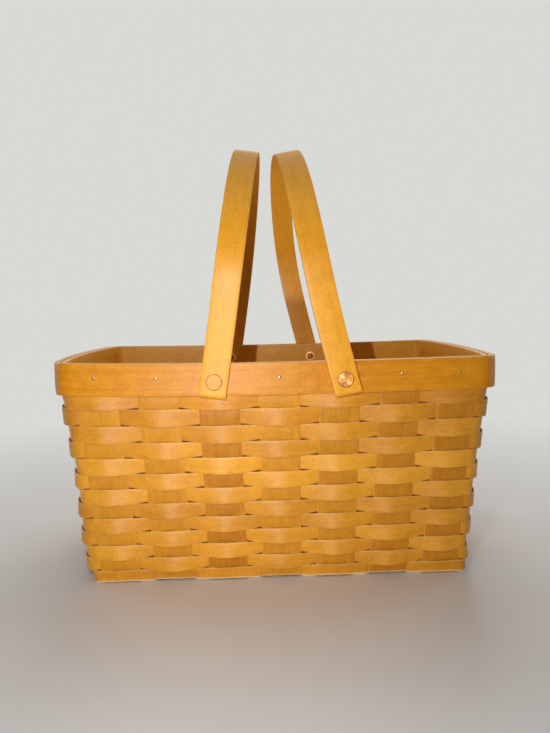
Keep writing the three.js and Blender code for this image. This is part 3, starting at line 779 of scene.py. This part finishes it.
# Pale floor: the camera sees it fade into the background away from the basket
stage = dict(size=6.0, tiles=8, floorColour=(224, 222, 218), cloud=0.97, cloudWaves=(3, 3, 3),
             rough=0.6, cloudRough=0.1, fadeFrom=0.25, fadeOver=0.6,
             backColour=(217, 217, 213), light=0.025)
board = Board("pale_floor")
place = board.node("ShaderNodeTexCoord", {}, {}, "Object")
cloudy = board.noise(place, stage["cloudWaves"], 2)
dusk = [stage["cloud"]*c for c in stage["floorColour"]]
pale = board.mix(cloudy, paint(*dusk), paint(*stage["floorColour"]))
away = board.node("ShaderNodeVectorMath", dict(operation="LENGTH"), {0: place}, "Value")
fade = ((away - stage["fadeFrom"])*(1/stage["fadeOver"])).clamped()
seen = board.node("ShaderNodeLightPath", {}, {}, "Is Camera Ray")
rough = stage["rough"] + (cloudy - 0.5)*stage["cloudRough"]
lit = board.node("ShaderNodeBsdfPrincipled", {}, {"Base Color": pale, "Roughness": rough})
haze = board.node("ShaderNodeEmission", {}, {"Color": paint(*stage["backColour"]), "Strength": 1})
floorFinish = board.ended(board.node("ShaderNodeMixShader", {}, {0: fade*seen, 1: lit, 2: haze}))
tiles = stage["tiles"]
edge = np.linspace(-stage["size"], stage["size"], tiles + 1)
gridX, gridY = np.meshgrid(edge, edge)
corners = np.stack([gridX, gridY, 0*gridX], -1).reshape(-1, 3)
n = np.arange(tiles)[:, None]*(tiles + 1) + np.arange(tiles)
quads = np.stack([n, n + 1, n + tiles + 2, n + tiles + 1], -1).reshape(-1, 4)
floorMesh = bpy.data.meshes.new("floor")
floorMesh.from_pydata(corners.tolist(), [], quads.tolist())
floorMesh.materials.append(floorFinish)
floor = bpy.data.objects.new("floor", floorMesh)
bpy.context.scene.collection.objects.link(floor)

# Light: a small near lamp by the camera casts the hard shadows, one low in front lights the weave, one
# high in front lights the tops of the handles, and large soft ones stand round the other sides
lamps = dict(
    key=dict(spot=(-0.066, -0.57, 0.29), aim=(-0.06, -0.12, 0.19), size=0.006, power=0.42, spread=105),
    low=dict(spot=(-0.1, -0.76, 0.06), aim=(-0.05, -0.12, 0.11), size=0.03, power=0.32, spread=75),
    brow=dict(spot=(-0.1, -0.5, 1.7), aim=(0, 0, 0.3), size=0.5, power=2.0, spread=180),
    left=dict(spot=(-1.6, 0.9, 0.7), aim=(0, 0, 0.15), size=1.0, power=7, spread=180),
    right=dict(spot=(1.6, 0.9, 0.7), aim=(0, 0, 0.15), size=1.0, power=7, spread=180),
    rear=dict(spot=(0.2, 1.6, 1.5), aim=(0, 0, 0.15), size=1.2, power=15, spread=180),
    over=dict(spot=(0.1, 0.9, 2.2), aim=(0, 0, 0.15), size=1.4, power=7, spread=180),
)
for name, lamp in lamps.items():
    light = bpy.data.lights.new(name, "AREA")
    light.size, light.energy, light.spread = lamp["size"], lamp["power"], math.radians(lamp["spread"])
    holder = bpy.data.objects.new(name, light)
    holder.location = lamp["spot"]
    holder.rotation_euler = (Vector(lamp["aim"]) - Vector(lamp["spot"])).to_track_quat("-Z", "Y").to_euler()
    holder.visible_camera = False
    bpy.context.scene.collection.objects.link(holder)

world = bpy.data.worlds.new("studio")
bpy.context.scene.world = world
world.use_nodes = True
sky = world.node_tree
sky.nodes.clear()
seen = sky.nodes.new("ShaderNodeLightPath")
room = sky.nodes.new("ShaderNodeBackground")
room.inputs["Color"].default_value = (1, 1, 1, 1)
room.inputs["Strength"].default_value = stage["light"]
back = sky.nodes.new("ShaderNodeBackground")
back.inputs["Color"].default_value = paint(*stage["backColour"])
back.inputs["Strength"].default_value = 1
choose = sky.nodes.new("ShaderNodeMixShader")
end = sky.nodes.new("ShaderNodeOutputWorld")
shown = [seen.outputs[k] for k in ("Is Camera Ray", "Is Glossy Ray", "Is Transmission Ray")]
for k in range(2):                     # any of the three rays sees the pale background
    either = sky.nodes.new("ShaderNodeMath")
    either.operation = "MAXIMUM"
    sky.links.new(shown[0], either.inputs[0])
    sky.links.new(shown[k + 1], either.inputs[1])
    shown[0] = either.outputs[0]
sky.links.new(shown[0], choose.inputs[0])
sky.links.new(room.outputs[0], choose.inputs[1])
sky.links.new(back.outputs[0], choose.inputs[2])
sky.links.new(choose.outputs[0], end.inputs["Surface"])

# Camera at the photograph's place: pitch, yaw and roll in degrees, and its lens in picture heights
view = dict(spot=(-0.0218, -0.6839, 0.2369), pitch=-5.21, yaw=1.88, roll=-1.11, focal=700/733, film=36)
pitch, yaw, roll = (math.radians(view[k]) for k in ("pitch", "yaw", "roll"))
ahead = Vector((math.sin(yaw)*math.cos(pitch), math.cos(yaw)*math.cos(pitch), math.sin(pitch)))
level = ahead.cross(Vector((0, 0, 1))).normalized()
raised = level.cross(ahead)
right = level*math.cos(roll) + raised*math.sin(roll)
upward = raised*math.cos(roll) - level*math.sin(roll)
camera = bpy.data.cameras.new("camera")
camera.sensor_width = view["film"]
camera.lens = view["film"]*view["focal"]
camera.clip_start = 10*mm
cameraObject = bpy.data.objects.new("camera", camera)
cameraObject.matrix_world = Matrix((right, upward, -ahead)).transposed().to_4x4()
cameraObject.location = view["spot"]
bpy.context.scene.collection.objects.link(cameraObject)
bpy.context.scene.camera = cameraObject
bpy.context.scene.view_settings.view_transform = "Standard"
print("stage, lamps and camera set")
